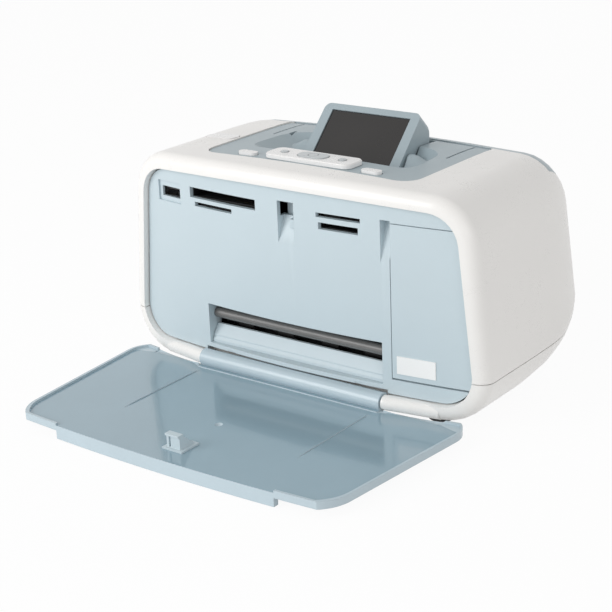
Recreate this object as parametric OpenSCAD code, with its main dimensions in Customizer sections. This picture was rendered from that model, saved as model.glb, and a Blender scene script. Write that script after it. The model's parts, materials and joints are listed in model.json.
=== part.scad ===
// Compact photo printer with a drop-down output tray, a tilt-up screen, a
// cartridge door and a rear paper lid.
// X runs across the front, Y from front to back, Z up. Z = 0 is the surface
// that the printer stands on, and Y is first counted from the middle of the
// fascia and then shifted so that the origin is the centre of the footprint.

/* [Body] */
// Width of the body across its sides
body_w = 220; // [214:1:232]
// Depth from the middle of the fascia to the back
body_d = 110; // [108:1:122]
// Height of the top above the standing surface
body_h = 118; // [117:0.5:124]
// Height of the flat bottom above the standing surface
foot_h = 5.5; // [5.3:0.1:6.5]
// Thickness of the casing
wall = 2.5; // [2:0.1:2.8]
// Height of the joint line between the two shells
parting_z = 28; // [25:0.5:29]
// Open joint between neighbouring casing pieces
seam = 0.4; // [0.3:0.05:0.5]
// Radius of the upper long edges of the body
top_r = 24; // [20:0.5:25]
// Radius of the lower long edges of the body
bottom_r = 25; // [22:0.5:26]
// How far the top bows up between its two sides
top_bow = 3.5; // [2:0.1:4]
// Lean of each side, in millimetres inwards for each millimetre up
side_lean = 0.12; // [0.08:0.01:0.13]
// Radius of the front seen from above
front_r = 598; // [560:1:700]

/* [Front frame] */
// Width of the white rim round the fascia
rim_w = 8.5; // [7.5:0.1:9]
// How far the rim stands in front of the fascia
rim_proud = 3.5; // [2.5:0.1:3.6]
// Radius of the rim's outer edge
rim_r = 6; // [4:0.1:6.5]
// Thickness of the fascia
fascia_t = 2.5; // [2:0.1:2.8]

/* [Ports in the fascia] */
// Height of the middle of the camera port
usb_z = 95.3; // [94:0.1:96]
// Middle of the camera port across the front
usb_x = -77.7; // [-79:0.1:-76]
// Middle of the wide card slot across the front
cf_x = -40.3; // [-42:0.1:-39]
// Height of the middle of the wide card slot
cf_z = 98.2; // [97:0.1:99]
// Width of the wide card slot
cf_w = 44.5; // [43.5:0.1:45]
// Height of the wide card slot
cf_h = 5.4; // [5:0.1:5.8]
// Middle of the memory card slots on the right
sd_x = 31.2; // [30:0.1:32]
// Height of the upper memory card slot
sd_z = 98.9; // [98:0.1:99.5]
// Middle of the latch window across the front
latch_x = 0.8; // [-1:0.1:2]
// Height of the middle of the latch window
latch_z = 98.6; // [98:0.1:99]
// Width of the latch window
latch_w = 9.8; // [9:0.1:11]

/* [Paper output] */
// Half the width of the output slot
slot_hw = 54; // [53:0.5:55]
// Height of the lower edge of the output slot
slot_z0 = 18.5; // [18:0.1:19]
// Height of the upper edge of the output slot
slot_z1 = 40; // [39:0.5:42]

/* [Cartridge door] */
// Left edge of the cartridge door
door_x = 59.4; // [59:0.1:61]
// Height of the lower edge of the door
door_z0 = 22.9; // [22.5:0.1:23.5]
// Height of the upper edge of the door
door_z1 = 99.6; // [97:0.1:100.5]
// Opening under the door that its lower corner turns in
door_gap = 0.9; // [0.8:0.05:1.1]
// Radius of the door's hinge pins
door_pin_r = 1; // [0.8:0.05:1.1]

/* [Output tray] */
// Height of the tray hinge axis
tray_axis_z = 11; // [10.8:0.1:11.4]
// Place of the tray hinge axis behind the fascia's middle
tray_axis_y = -0.5; // [-0.8:0.1:0]
// Radius of the tray's hinge barrel
barrel_r = 4.6; // [4.2:0.1:4.8]
// Half the length of the hinge barrel
barrel_hw = 56; // [54:0.5:57]
// Radius of the steel hinge pins
tray_pin_r = 1.6; // [1.3:0.1:2]
// Reach of the open tray in front of the fascia's middle
tray_reach = 101.4; // [99:0.1:103]
// Thickness of the tray plate
tray_t = 2.6; // [2.2:0.1:2.8]
// Height of the upper face of the open tray
tray_top_z = 7.3; // [7:0.1:7.6]
// Half the width of the tray near its hinge
tray_back_hw = 104; // [101:0.5:106]
// Half the width of the tray at its free edge
tray_front_hw = 94; // [92:0.5:98]

/* [Top deck and screen] */
// Half the width of the top deck
deck_hw = 63.5; // [62:0.5:65]
// Front edge of the top deck
deck_y0 = 14.5; // [13:0.5:16]
// Joint between the top deck and the rear lid
deck_y1 = 91.2; // [91:0.1:92]
// How far the deck lies below the shell round it
deck_sunk = 0.6; // [0.3:0.1:1]
// Width of the screen housing
screen_w = 60; // [58:0.5:61]
// Thickness of the screen housing
screen_t = 9; // [8:0.1:9.5]
// Tilt of the raised screen
screen_tilt = 45; // [40:1:50]
// Width of the display
lcd_w = 48; // [44:0.5:52]
// Height of the display
lcd_h = 36; // [32:0.5:37]
// Place of the screen's pivot behind the fascia
screen_axis_y = 64.3; // [64:0.1:64.6]
// Height of the screen's pivot
screen_axis_z = 112; // [111.5:0.1:112.5]
// Radius of the screen's pivot pins
screen_pin_r = 1.8; // [1.5:0.1:2]

/* [Controls] */
// Width of the control plate
plate_w = 52; // [48:0.5:54]
// Depth of the control plate
plate_d = 15; // [14:0.1:16]
// Middle of the control plate behind the fascia
plate_y = 25.3; // [25:0.1:26]
// Height of the control plate above the deck
plate_h = 2.2; // [1.6:0.1:2.6]
// Travel of the small keys
key_travel = 0.6; // [0.4:0.05:0.8]
// Middle of the side buttons across the deck
side_key_x = 37.5; // [36:0.5:40]
// Middle of the side buttons behind the fascia
side_key_y = 21; // [20.5:0.1:22]
// Middle of the power button across the top
power_x = -75; // [-77:0.5:-73]
// Middle of the power button behind the fascia
power_y = 46; // [40:0.5:56]

/* [Rear lid] */
// Side wall of the shell beside the rear lid
lid_margin = 16; // [15:0.5:20]
// Height of the rear lid's hinge axis
lid_axis_z = 49; // [47:0.5:52]
// Radius of the rear lid's hinge pins
lid_pin_r = 1.5; // [1.2:0.1:1.8]
// Paper width between the guides
paper_w = 102; // [101:0.5:104]

/* [Drive] */
// Tooth size of the gears (module)
tooth_m = 0.75; // [0.7:0.01:0.76]
// Teeth of the feed, idler and pick gears
feed_teeth = 32; // [32:2:34]
// Teeth of the exit gear
exit_teeth = 16; // [14:2:18]
// Teeth of the feed motor pinion
pinion_teeth = 12; // [12:1:13]
// Width of the gears
gear_w = 4; // [3:0.1:4.5]
// Height of the feed roller's axis
feed_z = 27; // [27:0.5:28]
// Place of the feed roller's axis behind the fascia
feed_y = 60; // [59.5:0.5:61]
// Radius of the feed roller
feed_r = 6; // [5:0.1:6.2]
// Radius of the roller shafts
shaft_r = 2.5; // [2:0.1:2.6]
// Running clearance on radius of every shaft
run_gap = 0.05; // [0.02:0.01:0.09]
// Radius of the grey pinch bar in the output slot
bar_r = 2.7; // [2.4:0.1:2.9]
// Radius of the carriage rail
rail_r = 3; // [2.6:0.1:3.2]
// Radius of the belt pulleys
pulley_r = 5; // [4.5:0.1:5.5]

/* [Hidden] */

$fn = 48;
white = "#F2F0EE";
fascia_blue = "#CFDBE1";
tray_blue = "#93A7B0";
deck_blue = "#A3B2B8";
dark = "#3A3A3B";
black = "#222426";
steel = "#A9ADB0";
board_green = "#2F5F45";

// ---------- the form of the casing ----------
half_w = body_w / 2;
lid_hw = half_w - lid_margin;
lean_z = 40;
body_bottom = foot_h;
rear_start = 50;
// The top, sides and bottom each curve in towards the back by their own amount and power
rear_drop = 46;
rear_side = 22;
rear_rise = 21;
drop_power = 6;
side_power = 3.1;
rise_power = 1.8;
rear_end = 0.985;
fade_d = 60;
big = 400;

// Centre of the footprint: the tray reaches as far forwards as the body backwards
mid_y = (body_d - tray_reach) / 2;
module place() translate([0, -mid_y, 0]) children();

function bow(x) = front_r - sqrt(front_r * front_r - x * x);
function top_fall(x) = top_bow * pow(x / half_w, 2);

// Points of an arc from angle a0 to angle a1
function arc(c, r, a0, a1, n) = [for (i = [0:n]) c + r * [cos(a0 + (a1 - a0) * i / n),
    sin(a0 + (a1 - a0) * i / n)]];

// Cross-section of the casing seen from the front: in by d all round, and at
// the back in by `side` at the sides, `drop` at the top and `rise` below
function section(d, side = 0, drop = 0, rise = 0, n = 7) =
    let(
        zt = body_h - d - drop,
        zb = body_bottom + d + rise,
        rt = min(top_r - d, (zt - zb) / 2.1),
        rb = min(bottom_r - d, (zt - zb) / 2.1),
        w = half_w - d - side,
        guess_x = w - rt - side_lean * max(0, zt - rt - lean_z),
        tz = zt - rt - top_fall(guess_x),
        lean = tz > lean_z ? side_lean : 0,
        tx = w - lean * (tz - lean_z) - rt * sqrt(1 + lean * lean),
        bx = w - rb,
        a0 = atan(lean)
    )
    concat(
        arc([bx, zb + rb], rb, -90, 0, n),
        arc([tx, tz], rt, a0, 87, n),
        [for (k = [0.6, 0.3, 0, -0.3, -0.6]) [tx * k, zt - top_fall(tx * k)]],
        arc([-tx, tz], rt, 93, 180 - a0, n),
        arc([-bx, zb + rb], rb, 180, 270, n)
    );

// Rings from the back of the casing forwards; each is [inset, side, drop, rise, y]
function fall_in(s, power) = 1 - pow(1 - pow(s, power), 1 / power);
function rear_rings(d, n = 10) = [for (i = [0:n])
    let(s = rear_end * pow(sin(90 * (n - i) / n), 0.55))
    [d, rear_side * fall_in(s, side_power), rear_drop * fall_in(s, drop_power),
        rear_rise * fall_in(s, rise_power),
        rear_start + (body_d - d - rear_start) * s / rear_end]];

// The rim's rounded outer edge, from the side wall round to the front
function rim_rings(n = 5) = [for (i = [0:n])
    let(a = 90 * i / n) [rim_r * (1 - cos(a)), 0, 0, 0, -rim_proud + rim_r * (1 - sin(a))]];

function ring_points(r, n = 7) = [for (p = section(r[0], r[1], r[2], r[3], n))
    [p[0], r[4] + bow(p[0]) * max(0, 1 - max(0, r[4]) / fade_d), p[1]]];

// A closed solid through a list of rings, capped at both ends
module loft(rings, n = 7) {
    pts = [for (r = rings) each ring_points(r, n)];
    m = len(section(0, n = n));
    k = len(rings);
    polyhedron(points = pts, convexity = 8, faces = concat(
        [[for (i = [0:m - 1]) i]],
        [for (j = [0:k - 2], i = [0:m - 1]) each [
            [j * m + i, (j + 1) * m + i, j * m + (i + 1) % m],
            [(j + 1) * m + i, (j + 1) * m + (i + 1) % m, j * m + (i + 1) % m]
        ]],
        [[for (i = [m - 1:-1:0]) (k - 1) * m + i]]
    ));
}

// The whole casing as one cup: outside, rim, and inside again
rim_depth = 8;
rim_lip = 2.2;
rim_draft = 0.5;
module casing() loft(concat(
    rear_rings(0),
    rim_rings(),
    [
        [rim_w - rim_draft, 0, 0, 0, -rim_proud],
        [rim_w, 0, 0, 0, -rim_proud + rim_depth],
        [rim_w - rim_lip, 0, 0, 0, -rim_proud + rim_depth],
        [rim_w - rim_lip, 0, 0, 0, wall],
        [wall, 0, 0, 0, wall + rim_r]
    ],
    [for (i = [10:-1:0]) rear_rings(wall)[i]]
));

// A skin that follows the casing, between two insets
module skin(outer, inner) difference() {
    loft(concat(rear_rings(outer), [[outer, 0, 0, 0, 10]]));
    loft(concat(rear_rings(inner), [[inner, 0, 0, 0, 9]]));
}

// ---------- helpers ----------
// Extrudes a front-view shape from y0 to y1
module front_prism(y0, y1) translate([0, y1, 0]) rotate([90, 0, 0]) linear_extrude(y1 - y0) children();
// Turns a shape drawn in Y and Z to run along X from x
module on_x(x, y, z) translate([x, y, z]) rotate([90, 0, 90]) children();
module rod_x(x0, x1, y, z, r) on_x(x0, y, z) cylinder(h = x1 - x0, r = r);
module rod_y(x, y0, y1, z, r) translate([x, y0, z]) rotate([-90, 0, 0]) cylinder(h = y1 - y0, r = r);
module box(x0, x1, y0, y1, z0, z1) translate([x0, y0, z0]) cube([x1 - x0, y1 - y0, z1 - z0]);
// Bowed sheet between two depths behind the fascia's face
module bowed(y0, y1) intersection() {
    translate([0, front_r, -1]) difference() {
        cylinder(h = body_h + 2, r = front_r - y0, $fn = 720);
        translate([0, 0, -1]) cylinder(h = body_h + 4, r = front_r - y1, $fn = 720);
    }
    box(-half_w, half_w, -10, 40, -1, body_h + 1);
}
function unit(v) = v / norm(v);
function fillet(a, b, c, r, n) =
    let(
        u = unit(a - b),
        v = unit(c - b),
        half = acos(u * v) / 2,
        o = b + unit(u + v) * r / sin(half),
        p = b + u * r / tan(half) - o,
        q = b + v * r / tan(half) - o,
        a0 = atan2(p[1], p[0]),
        turn = (atan2(q[1], q[0]) - a0 + 540) % 360 - 180
    )
    [for (i = [0:n]) o + r * [cos(a0 + turn * i / n), sin(a0 + turn * i / n)]];
// A polygon with each corner rounded
function rounded(pts, r, n = 6) = let(m = len(pts))
    [for (i = [0:m - 1]) each fillet(pts[(i + m - 1) % m], pts[i], pts[(i + 1) % m],
        is_list(r) ? r[i] : r, n)];
function rect(x0, x1, y0, y1) = [[x0, y0], [x1, y0], [x1, y1], [x0, y1]];

// ---------- casing pieces ----------
fascia_inset = rim_w + seam;

// Screws that hold the chassis to the base
screw_x = 58;
screw_ys = [20, 60];
screw_r = 1.5;
screw_head_r = 3;
screw_head_h = 2;
boss_r = 5;
boss_top = foot_h + 4.5;
chassis_z = 12;
chassis_t = 2;

// Rubber feet
foot_r = 7;
foot_x = half_w - 34;
foot_ys = [20, 68];
foot_sunk = 1;

barrel_gap = 0.6;
barrel_room_z = tray_axis_z + barrel_r + barrel_gap;
lobe_r = 3.7;
lobe_l = 28;
pin_into = 10;

// Room that the rear lid closes; its lower corner needs room to swing
lid_z0 = lid_axis_z - 5.7;
lid_swing = 3.1;
lid_axis_y = body_d - 6;
module lid_room(gap, below) difference() {
    box(-lid_hw + gap, lid_hw - gap, deck_y1 + gap, body_d + 10, lid_z0 + below, body_h + 5);
    for (s = [-1, 1]) translate([s * (lid_hw - gap), 0, lid_z0 + below])
        rotate([0, 45, 0]) cube([5, 3 * body_d, 5], center = true);
}

deck_r = 10;
function deck_outline(gap) = rounded(
    [[-deck_hw + gap, deck_y0 + gap], [deck_hw - gap, deck_y0 + gap],
        [deck_hw - gap, deck_y1 - gap], [-deck_hw + gap, deck_y1 - gap]],
    [deck_r, deck_r, 2, 2]);

// Power button: an oval in the upper shell
power_w = 20;
power_d = 9;
module power_oval(grow) for (s = [-1, 1]) translate([power_x + s * (power_w - power_d) / 2, power_y])
    circle(r = power_d / 2 + grow);
module power_shape(grow) {
    power_oval(grow);
    translate([power_x - (power_w - power_d) / 2, power_y - power_d / 2 - grow])
        square([power_w - power_d, power_d + 2 * grow]);
}

socket_w = 12;
socket_h = 11;
socket_x = -52;
inlet_x = -74;
inlet_r = 4.5;
ports_z = 37;
port_gap = 0.4;

module upper_shell() place() color(white) difference() {
    casing();
    box(-big, big, -big, big, -5, parting_z + seam / 2);
    translate([0, 0, body_h - 30]) linear_extrude(60) polygon(deck_outline(0));
    lid_room(0, 0);
    translate([0, 0, body_h - 20]) linear_extrude(40) power_shape(seam);
    box(socket_x - socket_w / 2 - port_gap, socket_x + socket_w / 2 + port_gap, body_d - 12, body_d + 5,
        ports_z - socket_h / 2 - port_gap, ports_z + socket_h / 2 + port_gap);
    rod_y(inlet_x, body_d - 12, body_d + 5, ports_z, inlet_r + port_gap);
}

module base_shell() place() color(white) difference() {
    union() {
        intersection() {
            casing();
            box(-big, big, -big, big, -5, parting_z - seam / 2);
        }
        // slim ends of the rim that hold the tray's hinge pins and run back into the rim
        for (s = [-1, 1]) hull() {
            translate([s * (barrel_hw + barrel_gap + 1), tray_axis_y, tray_axis_z]) rotate([0, 90, 0])
                cylinder(h = 2, r = lobe_r, center = true, $fn = 32);
            translate([s * (barrel_hw + lobe_l), bow(barrel_hw + lobe_l) - rim_proud + lobe_r,
                tray_axis_z - 1.2])
                rotate([0, 90, 0]) cylinder(h = 2, r = lobe_r, center = true, $fn = 32);
        }
        for (x = [-screw_x, screw_x], y = screw_ys) translate([x, y, foot_h + 1])
            cylinder(h = boss_top - foot_h - 1, r = boss_r);
        // flat seats of the feet where the bottom rises
        for (x = [-foot_x, foot_x], y = foot_ys) translate([x, y, foot_h])
            cylinder(h = wall + 2, r = foot_r + 1.6);
    }
    box(-barrel_hw - barrel_gap, barrel_hw + barrel_gap, -15, tray_axis_y + barrel_r + barrel_gap,
        0, barrel_room_z + 20);
    box(-barrel_hw - barrel_gap, barrel_hw + barrel_gap, 0, wall + rim_r - 0.5, foot_h + wall + 0.6,
        barrel_room_z + 20);
    rod_x(-barrel_hw - pin_into, barrel_hw + pin_into, tray_axis_y, tray_axis_z, tray_pin_r + run_gap / 2);
    door_rod(door_span, door_span + rim_pin + 0.3, door_pin_r + run_gap / 2);
    for (x = [-screw_x, screw_x], y = screw_ys) translate([x, y, 0]) {
        cylinder(h = foot_h + screw_head_h + 0.5, r = screw_head_r + 0.4);
        cylinder(h = boss_top + 1, r = screw_r + 0.2);
    }
    for (x = [-foot_x, foot_x], y = foot_ys) translate([x, y, 0])
        cylinder(h = foot_h + foot_sunk, r = foot_r + 0.15);
}

// Ports in the fascia
usb_w = 13.2;
usb_h = 5.3;
narrow_w = 25.5;
narrow_h = 2.3;
narrow_x = cf_x - 6.3;
narrow_z = cf_z - 5.8;
sd_w = 24.8;
sd_h = 2.2;
stick_w = 22.3;
stick_h = 3.4;
stick_z = sd_z - 5.3;
latch_h = 8.3;
scoop_depth = 5.5;
scoop_h = 12.8;
catch_z0 = latch_z - latch_h / 2 - 5.2;
catch_z1 = latch_z - latch_h / 2 - 0.8;
notch_w = 5.2;
notch_top = 101;
notch_h = 19;
slot_wall = 1.8;
slot_depth = 11;
bar_y = 9;
bar_z = 33.4;
bar_end_r = 1.5;

module slot_cut(x, z, w, h) box(x - w / 2, x + w / 2, -5, 25, z - h / 2, z + h / 2);
module fascia_sheet(y0, y1, inset) intersection() {
    bowed(y0, y1);
    front_prism(-10, 40) polygon(section(inset, n = 10));
}
module door_room(gap) box(door_x - gap, half_w, -10, 40, door_z0 - door_gap * (gap > 0 ? 1 : 0),
    door_z1 + gap);
// wedge-shaped recess, deepest at its top
module wedge(x0, x1, y, z_top, h, depth) on_x(x0, y, z_top)
    linear_extrude(x1 - x0) polygon([[-2, 0], [depth, 0], [-2, -h * (1 + 2 / depth)]]);

door_axis_t = 1.35;
door_axis_z = door_z0 + 1.7;
function door_axis_y(x) = bow(door_x) + door_axis_t
    + (x - door_x) * (bow(99.6) - bow(door_x)) / (99.6 - door_x);
door_axis_turn = atan((bow(99.6) - bow(door_x)) / (99.6 - door_x));
// A rod along the door's hinge axis, counted from the door's left edge
module door_rod(s0, s1, r) translate([door_x, door_axis_y(door_x), door_axis_z])
    rotate([0, 0, door_axis_turn])
    rod_x(s0, s1, 0, 0, r);
door_pin_in = 4;
door_pin_out = 3;
// the right pin is held by the rim
rim_pin = 5;
door_span = half_w - fascia_inset - door_x - 1.7;

module front_fascia() place() color(fascia_blue) difference() {
    union() {
        difference() {
            fascia_sheet(0, fascia_t, fascia_inset);
            door_room(seam);
        }
        // walls of the output slot
        intersection() {
            box(-slot_hw - slot_wall, slot_hw + slot_wall, 1, slot_depth + 1, slot_z0 - slot_wall,
                slot_z1 + slot_wall);
            bowed(1, slot_depth + 1);
        }
        // shelves that carry the card board
        for (x = [-68, -15, 10]) box(x, x + 2, bow(x) + 1, 22, card_board_z - 2.6, card_board_z);
        // hooks behind the rim
        for (x = [-60, 60]) {
            box(x - 6, x + 6, bow(66) + 1, bow(66) + 6.5, body_h - fascia_inset - 4.5,
                body_h - fascia_inset - 1.6);
            box(x - 6, x + 6, bow(66) + 4.7, bow(66) + 6.5, body_h - fascia_inset - 4.5,
                body_h - fascia_inset + 0.6);
        }
        // back of the scoop and of the pull notch
        box(latch_x - latch_w / 2 - 1.5, latch_x + latch_w / 2 + 1.5, 1.5, scoop_depth + 2,
            latch_z - latch_h / 2 - scoop_h - 1, latch_z - latch_h / 2);
        box(door_x - notch_w - 1.5, door_x - seam, bow(door_x) + 1, bow(door_x) + 6.5,
            notch_top - notch_h, notch_top + 1.5);
        // ear that holds the door's left hinge pin
        box(door_x - 4, door_x - seam, bow(door_x) + 0.6, bow(door_x) + 4.5, door_axis_z - 2.5,
            door_axis_z + 2.5);
    }
    box(-barrel_hw - barrel_gap, barrel_hw + barrel_gap, -15, 15, 0, barrel_room_z);
    slot_cut(usb_x, usb_z, usb_w, usb_h);
    slot_cut(cf_x, cf_z, cf_w, cf_h);
    slot_cut(narrow_x, narrow_z, narrow_w, narrow_h);
    slot_cut(sd_x, sd_z, sd_w, sd_h);
    slot_cut(sd_x, stick_z, stick_w, stick_h);
    slot_cut(latch_x, latch_z, latch_w, latch_h);
    slot_cut(0, (slot_z0 + slot_z1) / 2, 2 * slot_hw, slot_z1 - slot_z0);
    wedge(latch_x - latch_w / 2, latch_x + latch_w / 2, 0, latch_z - latch_h / 2 + 0.01, scoop_h,
        scoop_depth);
    wedge(door_x - notch_w, door_x, bow(door_x), notch_top, notch_h, 5);
    // shallow recess round the camera port
    intersection() {
        bowed(-1, 1);
        box(usb_x - usb_w / 2 - 2.2, usb_x + usb_w / 2 + 1.2, -5, 20, usb_z - usb_h / 2 - 2.4,
            usb_z + usb_h / 2 + 3);
    }
    door_rod(-door_pin_out, 1, door_pin_r + run_gap);
    rod_x(-slot_hw - slot_wall - 1, slot_hw + slot_wall + 1, bar_y, bar_z, bar_end_r + run_gap);
    // two small notches over the tray's barrel
    for (x = [-39, 41]) box(x - 2.6, x + 2.6, -2, 1.6, 15, barrel_room_z + 0.9);
    // slit for the thumb of the catch
    box(latch_x + 0.7, latch_x + latch_w / 2 + 0.1, 1, 12, catch_z0 - 0.3, catch_z1 + 0.3);
}

module cartridge_door() place() color(fascia_blue) difference() {
    union() {
        intersection() {
            fascia_sheet(0, fascia_t, fascia_inset + 0.3);
            door_room(0);
        }
        // lugs behind the lower edge that carry the pins
        intersection() {
            translate([door_x, door_axis_y(door_x), door_axis_z]) rotate([0, 0, door_axis_turn]) {
                box(0.2, door_pin_in + 1, -0.3, 2.2, -1.6, 2.2);
                box(door_span - door_pin_in - 1.6, door_span - 0.6, -0.8, 2.2, -1.6, 2.2);
            }
            bowed(0.3, 12);
        }
    }
    door_rod(-1, door_pin_in, door_pin_r + run_gap);
    door_rod(door_span - door_pin_in - 0.6, door_span + 2, door_pin_r + run_gap);
}

module door_hinge_pins() place() color(steel) {
    door_rod(-door_pin_out, door_pin_in, door_pin_r);
    door_rod(door_span - door_pin_in, door_span + rim_pin, door_pin_r);
}

label_t = 0.4;
module label_plate() place() color(white) intersection() {
    bowed(-label_t, 0);
    box(62, 82.2, -5, 20, 25.6, 34.6);
}

// Ramp that carries the sheets out through the slot
ramp_back = 8.6;
ramp_z1 = 27.4;
module output_ramp() place() color(fascia_blue)
    on_x(-slot_hw + 0.3, 0, 0) linear_extrude(2 * slot_hw - 0.6) polygon([
        [4.2, slot_z0 + 0.1], [4.2, slot_z0 + 1.6], [5.2, slot_z0 + 3], [5.2, slot_z0 + 3.8],
        [ramp_back, ramp_z1], [ramp_back + 1.4, ramp_z1], [ramp_back + 1.4, slot_z0 + 0.1]
    ]);

// ---------- output tray ----------
module tray_outline(inset) difference() {
    intersection() {
        polygon(rounded([
            [-tray_back_hw + inset, 6], [-tray_front_hw + inset, -tray_reach - 1 + inset],
            [tray_front_hw - inset, -tray_reach - 1 + inset], [tray_back_hw - inset, 6]
        ], [14, 20, 20, 14], 12));
        // the free edge is a long flat arc
        translate([0, edge_arc_r - tray_reach + inset]) circle(r = edge_arc_r, $fn = 360);
    }
    translate([0, front_r]) circle(r = front_r + rim_proud + 1.6 + inset, $fn = 360);
}
edge_arc_r = 1200;
tray_bottom_z = tray_top_z - tray_t;
lip_hw = 66;
lip_h = 4.3;
border_h = 1.1;
latch_y = -(latch_z - tray_axis_z) + tray_axis_y;
module output_tray() place() color(tray_blue) difference() {
    union() {
        translate([0, 0, tray_bottom_z]) linear_extrude(tray_t) tray_outline(0);
        // raised border
        translate([0, 0, tray_top_z - 0.5]) linear_extrude(border_h + 0.5) difference() {
            tray_outline(0);
            tray_outline(1.4);
            square([2 * barrel_hw + 4, 20], center = true);
            translate([-lip_hw, -tray_reach - 5]) square([2 * lip_hw, 20]);
        }
        // finger lip below the free edge
        translate([0, 0, tray_bottom_z - lip_h + 0.01]) linear_extrude(lip_h) intersection() {
            difference() {
                tray_outline(0);
                tray_outline(3);
            }
            translate([-lip_hw, -tray_reach - 5]) square([2 * lip_hw, 25]);
        }
        rod_x(-barrel_hw, barrel_hw, tray_axis_y, tray_axis_z, barrel_r);
        box(-barrel_hw, barrel_hw, tray_axis_y - barrel_r - 1.2, tray_axis_y, tray_bottom_z,
            tray_top_z + 0.5);
        // two low ridges that guide the sheets
        for (s = [-1, 1]) translate([s * 53.3, 0, 0]) on_x(-0.7, 0, tray_top_z - 0.2)
            linear_extrude(1.4) polygon([[-7, 0], [-16, 0.7], [-58, 0.7], [-70, 0]]);
    }
    for (s = [-1, 1]) rod_x(s > 0 ? barrel_hw - pin_into : -barrel_hw - 1,
        s > 0 ? barrel_hw + 1 : -barrel_hw + pin_into,
        tray_axis_y, tray_axis_z, tray_pin_r + run_gap);
    // the plate turns past the ends of the rim
    for (s = [-1, 1]) rod_x(s > 0 ? barrel_hw : -barrel_hw - lobe_l - 6,
        s > 0 ? barrel_hw + lobe_l + 6 : -barrel_hw,
        tray_axis_y, tray_axis_z, lobe_r + 0.5);
    // dimple in the middle
    translate([0, -57, tray_top_z + 1]) sphere(r = 2.2);
    // seat of the latch hook
    translate([latch_x, latch_y, tray_bottom_z - 1]) cylinder(h = 10, r = 1.5);
}

latch_hook_w = 8;
module tray_latch() place() color(fascia_blue) translate([latch_x, latch_y, tray_top_z]) {
    translate([0, 0, -tray_t]) cylinder(h = tray_t + 0.5, r = 1.48);
    box(-latch_hook_w / 2 - 2, latch_hook_w / 2 + 2, -3.4, 9, 0, 0.9);
    difference() {
        box(-latch_hook_w / 2, latch_hook_w / 2, -2, 0.6, 0, 8);
        box(-latch_hook_w / 2 + 1.4, -latch_hook_w / 2 + 2.4, -3, 2, 1.2, 6.4);
    }
    box(-latch_hook_w / 2, latch_hook_w / 2, -3, 0.6, 7, 8);
    on_x(-1, 0, 0) linear_extrude(2) polygon([[0.4, 0.5], [0.4, 7], [8.6, 0.5]]);
    on_x(2, 0, 0) linear_extrude(2) polygon([[0.4, 0.5], [0.4, 7], [8.6, 0.5]]);
}

module tray_hinge_pins() place() color(steel) for (s = [-1, 1])
    rod_x(s > 0 ? barrel_hw - pin_into + 0.3 : -barrel_hw - pin_into,
        s > 0 ? barrel_hw + pin_into : -barrel_hw + pin_into - 0.3,
        tray_axis_y, tray_axis_z, tray_pin_r);

// Spring catch behind the latch window
module tray_catch() place() color(fascia_blue) {
    box(latch_x + 1, latch_x + latch_w / 2 - 0.2, 2, 8, catch_z0, catch_z1);
    box(latch_x - latch_w / 2 + 0.5, latch_x + latch_w / 2 - 0.2, 7.8, 9.4, catch_z0 - 4,
        latch_z + latch_h / 2 + 4);
    box(latch_x - latch_w / 2 + 0.5, latch_x + latch_w / 2 - 0.2, 9, 14, card_board_z + card_board_t,
        card_board_z + card_board_t + 1.4);
}

// ---------- top deck, screen and keys ----------
deck_z = body_h - deck_sunk;
scoop_hw = 54;
scoop_back_hw = 50.5;
scoop_y0 = 34;
scoop_y1 = 75;
slit_x = 53.5;
scoop_low = 9.5;
tub_t = 1.5;
well_hw = screen_w / 2 + 0.6;
well_wall = 2.4;
screen_face = 5;
screen_low = 20.5;
screen_high = 24.4;
well_r = norm([screen_low, screen_face]) + 0.6;
well_back_y = screen_axis_y + screen_high + 0.6;
well_floor_z = screen_axis_z + screen_face - screen_t - 0.5;
wedge_u = 17.3;
wedge_v = -11.1;
wedge_gap = 0.85;
// Room that the screen turns in, seen from the side: an arc in front, and a
// pocket for the wedge on the back of the folded screen
function well_profile() =
    let(
        behind = screen_t - screen_face + 0.5,
        u = (well_floor_z - screen_axis_z + behind * cos(screen_tilt)) / sin(screen_tilt),
        low_y = screen_axis_y + wedge_u,
        low_z = screen_axis_z + wedge_v - wedge_gap
    )
    concat(
        [[screen_axis_y - well_r, body_h + 3]],
        arc([screen_axis_y, screen_axis_z], well_r, 180, 198 + screen_tilt, 8),
        [
            [screen_axis_y + u * cos(screen_tilt) + behind * sin(screen_tilt), well_floor_z],
            [low_y - (well_floor_z - low_z), well_floor_z],
            [low_y, low_z],
            [well_back_y, low_z + well_back_y - low_y],
            [well_back_y, body_h + 3]
        ]
    );
module scoop(t) hull() {
    translate([0, 0, body_h + 1]) linear_extrude(0.1)
        polygon(rounded([
            [-scoop_hw - t, scoop_y0 - t], [scoop_hw + t, scoop_y0 - t],
            [scoop_back_hw + t, scoop_y1 + t], [-scoop_back_hw - t, scoop_y1 + t]
        ], [9, 9, 18, 18], 10));
    translate([0, 0, deck_z - scoop_low - t]) linear_extrude(0.1)
        polygon(rounded(rect(-well_hw - 2.5 - t, well_hw + 2.5 + t, scoop_y0 + 7 - t, scoop_y1 - 8 + t),
            4, 8));
}
ear_wall = 1.4;
ear_foot = 3.5;
module ear(s, r, x0, x1) rod_x(s > 0 ? x0 : -x1, s > 0 ? x1 : -x0, screen_axis_y, screen_axis_z, r);

key_flange = 1;
key_gap = 0.35;
side_key_w = 11;
side_key_d = 5;
module pill(w, d, grow) {
    for (s = [-1, 1]) translate([s * (w - d) / 2, 0]) circle(r = d / 2 + grow);
    square([w - d, d + 2 * grow], center = true);
}
nav_w = 44;
nav_d = 9.6;
board_z = body_h - 8.6;
board_t = 1.6;
boss_xs = [-48.5, 48.5];
boss_ys = [18.5, 30];

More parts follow.
